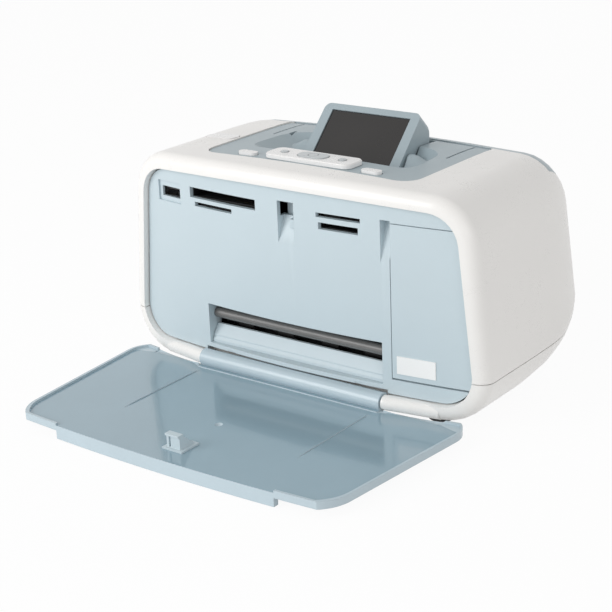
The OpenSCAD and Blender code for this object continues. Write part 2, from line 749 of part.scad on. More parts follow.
module top_deck() place() color(deck_blue) difference() {
    union() {
        difference() {
            union() {
                intersection() {
                    skin(deck_sunk, deck_sunk + wall);
                    translate([0, 0, body_h - 40]) linear_extrude(60) polygon(deck_outline(seam));
                }
                intersection() {
                    scoop(tub_t);
                    loft(concat(rear_rings(deck_sunk), [[deck_sunk, 0, 0, 0, 10]]));
                }
                intersection() {
                    on_x(-well_hw - well_wall, 0, 0) linear_extrude(2 * (well_hw + well_wall))
                        offset(delta = tub_t) polygon(well_profile());
                    loft(concat(rear_rings(deck_sunk), [[deck_sunk, 0, 0, 0, 10]]));
                    box(-half_w, half_w, 0, deck_y1 - seam, 0, big);
                }
            }
            scoop(0);
        }
        // upright lugs that hold the screen's pins
        for (s = [-1, 1]) hull() for (drop = [0, ear_foot]) translate([0, 0, -drop])
            ear(s, screen_pin_r + ear_wall, well_hw, well_hw + well_wall);
        for (x = boss_xs, y = boss_ys) translate([x, y, board_z + board_t])
            cylinder(h = body_h - wall - board_z - board_t - 1, r = 2.2);
    }
    on_x(-well_hw, 0, 0) linear_extrude(2 * well_hw) polygon(well_profile());
    for (s = [-1, 1]) ear(s, screen_pin_r + run_gap, well_hw - 1, well_hw + well_wall + 1);
    // narrow slits beside the screen
    for (s = [-1, 1]) box(s * slit_x - 0.5, s * slit_x + 0.5, 62, deck_y1 - 2, 90, body_h + 2);
    // short slot in the left of the dish
    box(-46.2, -44.4, 66, 71.5, 100, body_h + 2);
    // openings for the keys
    translate([0, plate_y, body_h - 12]) linear_extrude(20) square([nav_w, nav_d], center = true);
    for (s = [-1, 1]) translate([s * side_key_x, side_key_y, body_h - 12])
        linear_extrude(20) pill(side_key_w, side_key_d, key_gap);
}

// Everything of the screen is drawn flat and turned up to its tilt
module on_screen() translate([0, screen_axis_y, screen_axis_z]) rotate([screen_tilt, 0, 0]) children();
screen_back_v = screen_face - screen_t;
lcd_mid = (screen_high - screen_low) / 2 + 0.8;
glass_t = 1.6;
module lcd_rect(grow) translate([-lcd_w / 2 - grow, lcd_mid - lcd_h / 2 - grow])
    square([lcd_w + 2 * grow, lcd_h + 2 * grow]);
module screen_plan(inset) polygon(rounded(
    [[-screen_w / 2 + inset, -screen_low + inset], [screen_w / 2 - inset, -screen_low + inset],
        [screen_w / 2 - 0.6 - inset, screen_high - inset],
            [-screen_w / 2 + 0.6 + inset, screen_high - inset]],
    [2.5, 2.5, 3.6, 3.6], 8));
// Wedge on the back, whose rear stands upright when the screen is up
module wedge_shape(inset) offset(delta = -inset) polygon([
    [screen_high, screen_back_v + 3.5], [screen_high, screen_back_v], [wedge_u, wedge_v],
    [wedge_u - (screen_back_v - wedge_v), screen_back_v],
        [wedge_u - (screen_back_v - wedge_v), screen_back_v + 3.5]
]);
cover_end = wedge_u - (screen_back_v - wedge_v) - 1;
module screen_housing() place() color(deck_blue) on_screen() difference() {
    union() {
        translate([0, 0, screen_back_v]) linear_extrude(screen_t) screen_plan(0);
        intersection() {
            on_x(-screen_w / 2, 0, 0) linear_extrude(screen_w) wedge_shape(0);
            translate([0, 0, wedge_v - 1]) linear_extrude(20) screen_plan(0);
        }
        rod_x(-well_hw - well_wall + 0.3, well_hw + well_wall - 0.3, 0, 0, screen_pin_r);
    }
    translate([0, 0, screen_back_v + 1.8]) linear_extrude(screen_t - 1.8 - glass_t - 1.4) screen_plan(2.4);
    translate([0, 0, screen_face - glass_t - 1.5]) linear_extrude(5) lcd_rect(0.1);
    // hollow of the wedge
    on_x(-screen_w / 2 + 2.4, 0, 0) linear_extrude(screen_w - 4.8) wedge_shape(1.6);
    intersection() {
        translate([0, 0, screen_back_v - 1]) linear_extrude(4) screen_plan(4);
        box(-screen_w, screen_w, -screen_w, cover_end, -20, 20);
    }
}
module screen_back() place() color(deck_blue) on_screen() intersection() {
    translate([0, 0, screen_back_v]) linear_extrude(1.7) screen_plan(4.15);
    box(-screen_w, screen_w, -screen_w, cover_end - 0.15, -20, 20);
}
module display_glass() place() color(dark) on_screen()
    translate([0, 0, screen_face - glass_t - 0.6]) linear_extrude(glass_t) lcd_rect(0);

plate_top = deck_z + plate_h;
plate_t = 3;
ok_r = 2.4;
pad_w = 17;
pad_d = 8.6;
small_key_r = 1.9;
small_key_x = 17.5;
key_proud = 0.5;
flange_z = plate_top - plate_t - key_travel - key_flange - 0.5;
module plate_plan(inset) polygon(rounded(
    rect(-plate_w / 2 + inset, plate_w / 2 - inset, -plate_d / 2 + inset, plate_d / 2 - inset),
        4.5 - inset, 8));
module control_plate() place() color(white) translate([0, plate_y, 0]) difference() {
    union() {
        translate([0, 0, deck_z - 0.4]) linear_extrude(plate_h + 0.4 - 0.5) plate_plan(0);
        translate([0, 0, plate_top - 0.51]) linear_extrude(0.51) plate_plan(0.5);
        translate([0, 0, plate_top - plate_t]) linear_extrude(plate_t - 1)
            square([nav_w - 0.6, nav_d - 0.6], center = true);
    }
    // underside follows the bowed deck
    translate([0, 0, deck_z - 1.4]) difference() {
        linear_extrude(1.4) square([plate_w + 2, plate_d + 2], center = true);
        translate([0, 0, -1]) linear_extrude(4) square([nav_w - 0.6, nav_d - 0.6], center = true);
    }
    translate([0, 0, plate_top - 10]) linear_extrude(20) pill(pad_w, pad_d, key_gap);
    for (s = [-1, 1]) translate([s * small_key_x, 0, plate_top - 10])
        cylinder(h = 20, r = small_key_r + key_gap);
}
module direction_pad() place() color("#B9BFC2") translate([0, plate_y, 0]) difference() {
    union() {
        translate([0, 0, flange_z]) linear_extrude(plate_top + key_proud - flange_z) pill(pad_w, pad_d, 0);
        translate([0, 0, flange_z]) linear_extrude(key_flange)
            square([pad_w + 2, nav_d - 0.8], center = true);
        translate([-pad_w / 2 + 1, -1, board_z + board_t + key_travel + 0.2])
            cube([2, 2, flange_z - board_z - board_t - key_travel]);
        translate([pad_w / 2 - 3, -1, board_z + board_t + key_travel + 0.2])
            cube([2, 2, flange_z - board_z - board_t - key_travel]);
    }
    translate([0, 0, flange_z - 5]) cylinder(h = 20, r = ok_r + key_gap);
    translate([0, 0, flange_z - 1]) cylinder(h = plate_top - 2.6 - flange_z + 1, r = ok_r + 1.2);
}
// A round key with a collar and a stem that stands over its switch
module round_key(x, y, r, top, collar_z) translate([x, y, 0]) {
    translate([0, 0, collar_z]) cylinder(h = top - collar_z, r = r);
    translate([0, 0, collar_z]) cylinder(h = key_flange, r = r + 0.8);
    translate([0, 0, board_z + board_t + key_travel + 0.2])
        cylinder(h = collar_z - board_z - board_t - key_travel, r = 1.2);
}
module ok_key() place() color("#C9CDCF") translate([0, plate_y, 0]) {
    translate([0, 0, flange_z]) cylinder(h = plate_top + key_proud - flange_z, r = ok_r);
    translate([0, 0, flange_z]) cylinder(h = key_flange, r = ok_r + 0.7);
    translate([0, 0, board_z + board_t + key_travel + 0.2])
        cylinder(h = flange_z - board_z - board_t - key_travel, r = 1.2);
}
module menu_key() place() color("#C9CDCF")
    round_key(-small_key_x, plate_y, small_key_r, plate_top + key_proud, flange_z);
module zoom_key() place() color("#C9CDCF")
    round_key(small_key_x, plate_y, small_key_r, plate_top + key_proud, flange_z);
side_key_top = deck_z + 0.9;
module side_key(s) translate([s * side_key_x, side_key_y, 0]) {
    collar_z = body_h - wall - deck_sunk - top_fall(side_key_x + 8) - key_flange - 0.3;
    translate([0, 0, collar_z]) linear_extrude(side_key_top - collar_z) pill(side_key_w, side_key_d, 0);
    translate([0, 0, collar_z]) linear_extrude(key_flange) pill(side_key_w, side_key_d, 1);
    translate([0, 0, board_z + board_t + key_travel + 0.2])
        cylinder(h = collar_z - board_z - board_t - key_travel, r = 1.2);
}
module print_button() place() color(white) side_key(-1);
module cancel_button() place() color(white) side_key(1);
power_flange_z = body_h - wall - top_fall(abs(power_x) + power_w / 2) - key_flange - 0.5;
module power_button() place() color(white) {
    intersection() {
        loft(concat(rear_rings(-0.35), [[-0.35, 0, 0, 0, 10]]));
        translate([0, 0, power_flange_z]) linear_extrude(20) power_shape(0);
    }
    intersection() {
        translate([0, 0, power_flange_z]) linear_extrude(key_flange) power_shape(1);
        box(power_x - power_w / 2 + 2, power_x + power_w, 0, body_d, 0, body_h);
    }
    translate([power_x, power_y, board_z + board_t + key_travel + 0.1])
        cylinder(h = power_flange_z - board_z - board_t - key_travel, r = 1.5);
}
module control_board() place() color(board_green) difference() {
    union() {
        box(-52, 52, 16.5, 34, board_z, board_z + board_t);
        box(power_x - 11, -51, 28, power_y + 7, board_z, board_z + board_t);
    }
    for (x = boss_xs, y = boss_ys) translate([x, y, board_z - 1]) cylinder(h = 4, r = 1.1);
}

// ---------- rear lid and paper frame ----------
lug_x0 = lid_hw - 9.5;
lug_w = 3.5;
lug_r = 2.8;
module rear_lid() place() color(tray_blue) difference() {
    union() {
        intersection() {
            skin(0.1, wall);
            lid_room(seam, lid_swing);
        }
        for (s = [-1, 1]) {
            rod_x(s > 0 ? lug_x0 : -lug_x0 - lug_w, s > 0 ? lug_x0 + lug_w : -lug_x0, lid_axis_y,
                lid_axis_z, lug_r);
            box(s > 0 ? lug_x0 : -lug_x0 - lug_w, s > 0 ? lug_x0 + lug_w : -lug_x0,
                lid_axis_y, body_d - wall + 0.5, lid_axis_z - 2, lid_axis_z + lug_r);
        }
    }
    rod_x(-lug_x0 - lug_w - 1, lug_x0 + lug_w + 1, lid_axis_y, lid_axis_z, lid_pin_r + run_gap);
}
frame_y0 = body_d - 25.5;
frame_top = 98;
frame_t = 2;
shelf_z = 40;
shelf_y1 = body_d - 12.5;
bin_hw = paper_w / 2 + 11;
ear_t = 2.7;
module rear_frame() place() color(black) {
    difference() {
        union() {
            box(-bin_hw - frame_t, bin_hw + frame_t, frame_y0, frame_y0 + frame_t, 54, frame_top);
            box(-lug_x0 - lug_w - 3, lug_x0 + lug_w + 3, frame_y0 + frame_t, shelf_y1, shelf_z,
                shelf_z + frame_t);
            for (s = [-1, 1]) on_x(s > 0 ? bin_hw : -bin_hw - frame_t, 0, 0) linear_extrude(frame_t)
                polygon([[frame_y0, shelf_z], [shelf_y1, shelf_z], [shelf_y1, 78],
                    [frame_y0 + 5.5, frame_top],
                    [frame_y0, frame_top]]);
            for (s = [-1, 1]) on_x(s > 0 ? lug_x0 + lug_w + 0.3 : -lug_x0 - lug_w - 0.3 - ear_t, 0, 0)
                linear_extrude(ear_t) polygon([[frame_y0 + 5.5, shelf_z], [shelf_y1, shelf_z],
                    [lid_axis_y + 1.4, lid_axis_z - 2.3], [lid_axis_y + 2.6, lid_axis_z],
                        [lid_axis_y + 1.6, lid_axis_z + 2.2],
                    [lid_axis_y - 1, lid_axis_z + 2.6], [frame_y0 + 5.5, shelf_z + 8]]);
        }
        // slot that guides the paper guide
        box(12, bin_hw - 6, frame_y0 - 1, frame_y0 + frame_t + 1, 70, 73);
    }
    for (s = [-1, 1]) rod_x(s > 0 ? lug_x0 + 0.3 : -lug_x0 - lug_w - 2,
        s > 0 ? lug_x0 + lug_w + 2 : -lug_x0 - 0.3,
        lid_axis_y, lid_axis_z, lid_pin_r);
}
guide_x = paper_w / 2 + 0.5;
module paper_guide() place() color(tray_blue) {
    wall_y = frame_y0 + frame_t + 0.3;
    box(guide_x, guide_x + 1.8, wall_y, wall_y + 7, 56, 88);
    box(guide_x - 4, guide_x + 1.8, wall_y, wall_y + 1.2, 56, 88);
    box(guide_x - 3, guide_x, frame_y0 - 0.5, wall_y + 1, 70.3, 72.7);
}

// ---------- chassis ----------
plate_x0 = half_w - 20;
plate_x1 = plate_x0 + 2.5;
pulley_x = plate_x0 - 8;
park_x = plate_x0 - 16;
idler_y = feed_y - tooth_m * feed_teeth;
exit_y = idler_y - tooth_m * (feed_teeth + exit_teeth) / 2;
pick_turn = 45;
pick_y = feed_y + tooth_m * feed_teeth * cos(pick_turn);
pick_z = feed_z + tooth_m * feed_teeth * sin(pick_turn);
pinion_turn = 110;
pinion_y = feed_y + tooth_m * (feed_teeth + pinion_teeth) / 2 * cos(pinion_turn);
pinion_z = feed_z + tooth_m * (feed_teeth + pinion_teeth) / 2 * sin(pinion_turn);
exit_r = feed_r * exit_teeth / feed_teeth;
exit_shaft_r = 1.6;
bracket_x0 = 64;
bracket_x1 = 66;
pick_r = 9;
pinch_r = 4;
pinch_shaft_r = 2;
pinch_z = feed_z + feed_r + 0.3 + pinch_r;
rail_y = 66;
rail_z = 58;
wall_y0 = 70;
wall_y1 = 71.5;
pulley_z = 72;
pulley_y0 = 63;
pulley_w = 6;
stud_r = 2;
feed_motor_r = 12;
carriage_motor_r = 7.5;
main_y0 = body_d - 11.8;
main_y1 = main_y0 + 1.6;
chassis_y0 = 12.4;
chassis_y1 = feed_y + 10;
gear_x1 = -plate_x1 - 2;
gear_x0 = gear_x1 - gear_w;

module chassis() place() color(dark) difference() {
    union() {
        box(-plate_x1, plate_x1, chassis_y0, chassis_y1, chassis_z, chassis_z + chassis_t);
        for (x = [-screw_x, screw_x], y = screw_ys) translate([x, y, boss_top])
            cylinder(h = chassis_z - boss_top + 0.5, r = 4);
        // brackets of the pinch rollers
        for (x = [-bracket_x1, bracket_x0]) box(x, x + bracket_x1 - bracket_x0, feed_y - 3.6,
            feed_y + 6, chassis_z, 42);
        for (x = [-plate_x1, plate_x0]) on_x(x, 0, 0) linear_extrude(plate_x1 - plate_x0) polygon([
            [chassis_y0, chassis_z], [chassis_y1, chassis_z], [main_y0, 26], [main_y0, shelf_z],
            [frame_y0 - 0.5, shelf_z], [frame_y0 - 0.5, 56], [76, 60], [76, 88], [58, 88], [50, 44],
                [chassis_y0, 44]
        ]);
        box(-plate_x1, plate_x1, wall_y0, wall_y1, 60, 86);
        // stud of the idler gear
        rod_x(gear_x0 - 0.4, -plate_x1, idler_y, feed_z, stud_r);
        // stud of the belt's idler pulley
        rod_y(-pulley_x, pulley_y0 - 0.4, wall_y0 + 0.5, pulley_z, 1.5);
    }
    for (b = [[feed_y, feed_z, shaft_r], [exit_y, feed_z, exit_shaft_r], [pick_y, pick_z, shaft_r]])
        rod_x(-big, big, b[0], b[1], b[2] + run_gap);
    rod_x(-bracket_x1 - 1, bracket_x1 + 1, feed_y, pinch_z, pinch_shaft_r + run_gap);
    rod_x(-plate_x1 - 1, plate_x1 + 1, rail_y, rail_z, rail_r + 0.01);
    rod_x(-plate_x1 - 1, -plate_x0 + 1, pinion_y, pinion_z, 3);
    rod_y(pulley_x, wall_y0 - 1, wall_y1 + 1, pulley_z, 3);
    for (x = [-screw_x, screw_x], y = screw_ys) translate([x, y, boss_top - 1])
        cylinder(h = chassis_z, r = screw_r + 0.05);
}

platen_hw = 58;
platen_y0 = exit_y + exit_r + 0.6;
platen_y1 = feed_y - feed_r - 0.6;
module platen() place() color(black) {
    box(-platen_hw, platen_hw, platen_y0, platen_y1, chassis_z + chassis_t, feed_z + 2.5);
    for (i = [-6:6]) box(i * 8.5 - 0.6, i * 8.5 + 0.6, platen_y0 + 1, platen_y1 - 1, feed_z + 2.4,
        feed_z + 4.4);
}
module carriage_rail() place() color(steel) rod_x(-plate_x1, plate_x1, rail_y, rail_z, rail_r);

carriage_hw = 15;
carriage_z0 = 35;
carriage_z1 = 84;
carriage_y0 = 18.5;
carriage_y1 = feed_y - pinch_r - 0.6;
cartridge_hw = 12;
belt_t = 1.2;
belt_gap = 0.3;
belt_low = pulley_z - pulley_r - belt_gap - belt_t;
module carriage() place() color(black) translate([park_x, 0, 0]) difference() {
    union() {
        box(-carriage_hw, carriage_hw, carriage_y0, carriage_y1, carriage_z0, carriage_z1);
        box(-carriage_hw + 1, carriage_hw - 1, carriage_y1 - 0.1, wall_y0 - 0.4, rail_z - 5, rail_z + 5);
        box(-12, -4, pulley_y0 - 1.6, wall_y0 - 0.4, rail_z + 4, belt_low + belt_t + 2.6);
    }
    box(-cartridge_hw - 0.4, cartridge_hw + 0.4, carriage_y0 - 1, carriage_y1 - 3, carriage_z0 + 2,
        carriage_z1 + 1);
    box(-9.3, 9.3, carriage_y0 + 4.7, carriage_y1 - 7.7, carriage_z0 - 1, carriage_z0 + 3);
    rod_x(-big, big, rail_y, rail_z, rail_r + run_gap);
    box(-13, -3, pulley_y0 - belt_gap, pulley_y0 + pulley_w + belt_gap, belt_low - belt_gap,
        belt_low + belt_t + belt_gap);
}
module print_cartridge() place() color(dark) translate([park_x, 0, 0]) {
    on_x(-cartridge_hw, 0, 0) linear_extrude(2 * cartridge_hw) polygon([
        [carriage_y0 + 1, carriage_z0 + 2.3], [carriage_y1 - 3.4, carriage_z0 + 2.3],
        [carriage_y1 - 3.4, carriage_z1 - 5], [carriage_y1 - 7, carriage_z1 - 1],
        [carriage_y0 + 3, carriage_z1 - 1], [carriage_y0 + 1, carriage_z1 - 4]
    ]);
    box(-9, 9, carriage_y0 + 5, carriage_y1 - 8, carriage_z0 - 1.5, carriage_z0 + 2.5);
    box(-5, 5, carriage_y0 - 2.2, carriage_y0 + 1.2, carriage_z1 - 14, carriage_z1 - 12);
}

// One flat belt round two pulleys
module belt_shape(r) {
    for (s = [-1, 1]) translate([s * pulley_x, pulley_z]) circle(r = r, $fn = 64);
    translate([-pulley_x, pulley_z - r]) square([2 * pulley_x, 2 * r]);
}
module drive_belt() place() color(black) front_prism(pulley_y0, pulley_y0 + pulley_w) difference() {
    belt_shape(pulley_r + belt_gap + belt_t);
    belt_shape(pulley_r + belt_gap);
}
module pulley(x, bore) difference() {
    union() {
        rod_y(x, pulley_y0, pulley_y0 + pulley_w, pulley_z, pulley_r);
        rod_y(x, pulley_y0 - 0.8, pulley_y0 - 0.2, pulley_z, pulley_r + 0.6);
    }
    rod_y(x, pulley_y0 - 2, pulley_y0 + pulley_w + 1, pulley_z, bore);
    // teeth of the belt run
    for (i = [0:15]) translate([x, pulley_y0 - 0.1, pulley_z]) rotate([0, i * 360 / 16, 0])
        box(-0.5, 0.5, 0, pulley_w + 0.2, pulley_r - 0.6, pulley_r + 0.2);
}
module motor_pulley() place() color(steel) {
    pulley(pulley_x, 1);
    rod_y(pulley_x, pulley_y0 - 1, wall_y1 + 6, pulley_z, 1);
}
module idler_pulley() place() color(white) pulley(-pulley_x, 1.5 + run_gap);
motor_l = 12.5;
module carriage_motor() place() color(steel) difference() {
    union() {
        rod_y(pulley_x, wall_y1, wall_y1 + motor_l, pulley_z, carriage_motor_r);
        rod_y(pulley_x, wall_y0 + 0.4, wall_y1 + 0.1, pulley_z, 2.9);
    }
    rod_y(pulley_x, wall_y0 - 1, wall_y1 + 7, pulley_z, 1 + run_gap);
}
module feed_motor() place() color(steel) difference() {
    union() {
        rod_x(-plate_x0, -plate_x0 + 14, pinion_y, pinion_z, feed_motor_r);
        rod_x(-plate_x1 + 0.3, -plate_x0 + 0.1, pinion_y, pinion_z, 2.9);
    }
    rod_x(-plate_x1 - 1, -plate_x0 + 10, pinion_y, pinion_z, 1 + run_gap);
}

// ---------- gears and rollers ----------
backlash = 0.5;
pressure = 20;
function involute(a) = tan(a) * 180 / PI - a;
// Outline of an involute gear with a tooth centred on angle `turn`
function gear_outline(teeth, turn) =
    let(
        rp = tooth_m * teeth / 2,
        rb = rp * cos(pressure),
        radii = [rp - 1.25 * tooth_m, max(rb, rp - 0.9 * tooth_m) + 0.01, rp, rp + 0.5 * tooth_m,
            rp + 0.95 * tooth_m],
        half = 90 / teeth - backlash + involute(pressure),
        flank = [for (r = radii) r <= rb ? half : half - involute(acos(rb / r))]
    )
    [for (i = [0:teeth - 1]) let(a = turn + i * 360 / teeth) each concat(
        [for (k = [0:4]) radii[k] * [cos(a - flank[k]), sin(a - flank[k])]],
        [for (k = [4:-1:0]) radii[k] * [cos(a + flank[k]), sin(a + flank[k])]]
    )];
// Angle of a tooth of gear 2 that meshes with gear 1 along direction `dir`
function mesh_turn(teeth1, turn1, teeth2, dir) = dir + 180 + (dir - turn1) * teeth1 / teeth2 + 180 / teeth2;
idler_turn = mesh_turn(feed_teeth, 0, feed_teeth, 180);
exit_turn = mesh_turn(feed_teeth, idler_turn, exit_teeth, 180);
module gear(y, z, teeth, turn, bore, hub_r) on_x(gear_x0, y, z) difference() {
    union() {
        linear_extrude(gear_w) polygon(gear_outline(teeth, turn));
        translate([0, 0, gear_w - 0.1]) cylinder(h = 1.8, r = hub_r);
    }
    translate([0, 0, -1]) cylinder(h = gear_w + 4, r = bore);
    if (teeth > 20) translate([0, 0, -1]) difference() {
        cylinder(h = 2.2, r = tooth_m * teeth / 2 - 2.4);
        cylinder(h = 2.2, r = hub_r);
    }
}
module feed_gear() place() color(white) gear(feed_y, feed_z, feed_teeth, 0, shaft_r + 0.01, 4);
module idler_gear() place() color(white) gear(idler_y, feed_z, feed_teeth, idler_turn, stud_r + run_gap, 4);
module exit_gear() place() color(white) gear(exit_y, feed_z, exit_teeth, exit_turn, exit_shaft_r + 0.01, 4);
module pick_gear() place() color(white)
    gear(pick_y, pick_z, feed_teeth, mesh_turn(feed_teeth, 0, feed_teeth, pick_turn), shaft_r + 0.01, 4);
module feed_pinion() place() color(steel) {
    on_x(gear_x0, pinion_y, pinion_z) linear_extrude(gear_w)
        polygon(gear_outline(pinion_teeth, mesh_turn(feed_teeth, 0, pinion_teeth, pinion_turn)));
    rod_x(gear_x0 + 0.5, -plate_x0 + 9, pinion_y, pinion_z, 1);
}
shaft_x0 = gear_x0 - 0.5;
shaft_x1 = plate_x1 + 1.5;
module feed_roller() place() color(steel) {
    rod_x(shaft_x0, shaft_x1, feed_y, feed_z, shaft_r);
    rod_x(-paper_w / 2 - 5, paper_w / 2 + 5, feed_y, feed_z, feed_r);
}
module exit_roller() place() color(steel) rod_x(shaft_x0, shaft_x1, exit_y, feed_z, exit_shaft_r);
module exit_tyres() place() color(black) for (x = [-40, -14, 14, 40]) difference() {
    rod_x(x - 5, x + 5, exit_y, feed_z, exit_r);
    rod_x(x - 6, x + 6, exit_y, feed_z, exit_shaft_r + 0.01);
}
module pick_roller() place() color(steel) rod_x(shaft_x0, shaft_x1, pick_y, pick_z, shaft_r);
module pick_tyre() place() color(black) difference() {
    rod_x(-12, 12, pick_y, pick_z, pick_r);
    rod_x(-13, 13, pick_y, pick_z, shaft_r + 0.01);
}
module pinch_bar() place() color("#8D9194") {
    rod_x(-slot_hw + 0.3, slot_hw - 0.3, bar_y, bar_z, bar_r);
    rod_x(-slot_hw - slot_wall + 0.2, slot_hw + slot_wall - 0.2, bar_y, bar_z, bar_end_r);
}
module pinch_rollers() place() color(black) {
    rod_x(-bracket_x1, bracket_x1, feed_y, pinch_z, pinch_shaft_r);
    for (x = [-42, -14, 14, 42]) rod_x(x - 6, x + 6, feed_y, pinch_z, pinch_r);
}
module encoder_strip() place() color("#C8C8C0") box(-plate_x0, plate_x0, 60.5, 60.9, 84.8, 88);

// ---------- boards, sockets, service parts ----------
card_board_z = 88;
card_board_t = 1.6;
module card_board() place() color(board_green) box(-plate_x0, 48, 10, 34, card_board_z,
    card_board_z + card_board_t);
module card_sockets() place() color(black) difference() {
    union() {
        box(cf_x - cf_w / 2 - 2, cf_x + cf_w / 2 + 2, 6.3, 28, card_board_z + card_board_t,
            cf_z + cf_h / 2 + 1.6);
        box(sd_x - sd_w / 2 - 2, sd_x + sd_w / 2 + 2, 4.6, 28, card_board_z + card_board_t,
            sd_z + sd_h / 2 + 1.6);
    }
    box(cf_x - cf_w / 2, cf_x + cf_w / 2, 0, 26, cf_z - cf_h / 2, cf_z + cf_h / 2);
    box(narrow_x - narrow_w / 2, narrow_x + narrow_w / 2, 0, 22, narrow_z - narrow_h / 2,
        narrow_z + narrow_h / 2);
    box(sd_x - sd_w / 2, sd_x + sd_w / 2, 0, 24, sd_z - sd_h / 2, sd_z + sd_h / 2);
    box(sd_x - stick_w / 2, sd_x + stick_w / 2, 0, 24, stick_z - stick_h / 2, stick_z + stick_h / 2);
}
module usb_host_socket() place() color(steel) difference() {
    box(usb_x - usb_w / 2 - 0.6, usb_x + usb_w / 2 + 0.6, 9.2, 24, card_board_z + card_board_t,
        usb_z + usb_h / 2 + 0.6);
    box(usb_x - usb_w / 2, usb_x + usb_w / 2, 0, 22, usb_z - usb_h / 2, usb_z + usb_h / 2);
    box(usb_x - usb_w / 2, usb_x + usb_w / 2, 0, 40, card_board_z + card_board_t + 0.6,
        usb_z - usb_h / 2 - 0.6);
}
module main_board() place() color(board_green) {
    box(-plate_x1 + 0.5, plate_x1 - 0.5, main_y0, main_y1, 25, shelf_z - 0.5);
    box(-lug_x0, lug_x0, main_y0, main_y1, 25, shelf_z + 2.5);
}
module usb_device_socket() place() color(steel) difference() {
    box(socket_x - socket_w / 2, socket_x + socket_w / 2, main_y1, body_d - 1, ports_z - socket_h / 2,
        ports_z + socket_h / 2);
    box(socket_x - socket_w / 2 + 1.2, socket_x + socket_w / 2 - 1.2, main_y1 + 1, body_d,
        ports_z - socket_h / 2 + 1.2,
        ports_z + socket_h / 2 - 1.2);
}
module power_inlet() place() color(black) difference() {
    rod_y(inlet_x, main_y1, body_d - 1, ports_z, inlet_r);
    rod_y(inlet_x, main_y1 + 1, body_d, ports_z, 2.8);
}
station_z = 29.5;
module service_station() place() color(dark) difference() {
    box(park_x - 14, park_x + 14, 22, 50, chassis_z + chassis_t, station_z);
    box(park_x - 12, park_x + 12, 24, 48, chassis_z + chassis_t + 3, station_z - 4);
}
module capping_pad() place() color(black) difference() {
    box(park_x - 10, park_x + 10, 24, 46, station_z, carriage_z0 - 2);
    box(park_x - 8.5, park_x + 8.5, 25.5, 44.5, station_z + 1, carriage_z0);
}
module case_screws() place() color(steel) for (x = [-screw_x, screw_x], y = screw_ys)
    translate([x, y, 0]) difference() {
    union() {
        translate([0, 0, foot_h + 0.5]) cylinder(h = screw_head_h, r = screw_head_r);
        translate([0, 0, foot_h + 1]) cylinder(h = chassis_z + chassis_t - foot_h - 1.2, r = screw_r);
    }
    for (a = [0, 90]) rotate([0, 0, a]) translate([-2, -0.4, foot_h]) cube([4, 0.8, 1.4]);
}
module feet() place() color(black) for (x = [-foot_x, foot_x], y = foot_ys) translate([x, y, 0]) {
    translate([0, 0, 1]) cylinder(h = foot_h + foot_sunk - 1, r = foot_r);
    cylinder(h = 1.01, r1 = foot_r - 0.8, r2 = foot_r);
}

upper_shell();
base_shell();
front_fascia();
top_deck();
output_ramp();
cartridge_door();
label_plate();
door_hinge_pins();
output_tray();
tray_latch();
tray_hinge_pins();
tray_catch();
rear_lid();
rear_frame();
paper_guide();
screen_housing();
screen_back();
display_glass();
control_plate();
direction_pad();
ok_key();
menu_key();
zoom_key();
print_button();
cancel_button();
power_button();
control_board();
card_board();
card_sockets();
usb_host_socket();
main_board();
power_inlet();
usb_device_socket();
chassis();
platen();
carriage_rail();
carriage();
print_cartridge();
drive_belt();
motor_pulley();
idler_pulley();
carriage_motor();
feed_motor();
feed_pinion();
feed_roller();
feed_gear();
idler_gear();
exit_roller();
exit_tyres();
exit_gear();
pick_roller();
pick_tyre();
pick_gear();
pinch_bar();
pinch_rollers();
encoder_strip();
service_station();
capping_pad();
case_screws();
feet();
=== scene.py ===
import json
import math

import bmesh
import bpy
from mathutils import Matrix, Vector

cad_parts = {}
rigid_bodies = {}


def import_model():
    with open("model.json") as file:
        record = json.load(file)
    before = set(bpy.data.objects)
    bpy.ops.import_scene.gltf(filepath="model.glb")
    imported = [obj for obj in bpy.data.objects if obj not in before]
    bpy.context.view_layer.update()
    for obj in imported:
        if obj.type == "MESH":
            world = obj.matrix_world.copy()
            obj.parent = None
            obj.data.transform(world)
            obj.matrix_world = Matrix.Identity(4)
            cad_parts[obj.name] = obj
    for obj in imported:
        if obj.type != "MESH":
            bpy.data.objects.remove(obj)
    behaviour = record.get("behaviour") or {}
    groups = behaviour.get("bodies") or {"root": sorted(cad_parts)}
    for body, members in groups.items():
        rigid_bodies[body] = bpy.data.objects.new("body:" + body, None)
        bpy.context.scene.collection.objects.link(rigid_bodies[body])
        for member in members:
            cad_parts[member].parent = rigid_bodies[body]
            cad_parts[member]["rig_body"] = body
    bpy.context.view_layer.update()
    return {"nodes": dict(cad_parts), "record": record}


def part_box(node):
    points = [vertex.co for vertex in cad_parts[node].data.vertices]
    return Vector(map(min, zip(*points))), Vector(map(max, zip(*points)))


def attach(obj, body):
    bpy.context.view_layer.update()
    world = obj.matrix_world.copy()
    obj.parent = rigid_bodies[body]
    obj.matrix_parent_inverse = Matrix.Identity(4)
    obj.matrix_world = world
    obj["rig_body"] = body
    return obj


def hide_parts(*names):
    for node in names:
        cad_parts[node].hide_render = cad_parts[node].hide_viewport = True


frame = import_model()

nodes = frame["nodes"]
body_of_node = {name: piece["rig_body"] for name, piece in nodes.items()}
slot_of_node = {row["node"]: row["material_slot"] for row in frame["record"]["subparts"]}
MM = 0.001

# ---------- camera: the photograph's angle on the printer ----------
AZIMUTH = math.radians(37.565)
ELEVATION = math.radians(19.877)
ROLL = math.radians(-2.307)
DISTANCE = 0.82381
TARGET = Vector((-0.027256, 0.0457, 0.028564))
LENS = 91.219
SENSOR = 36


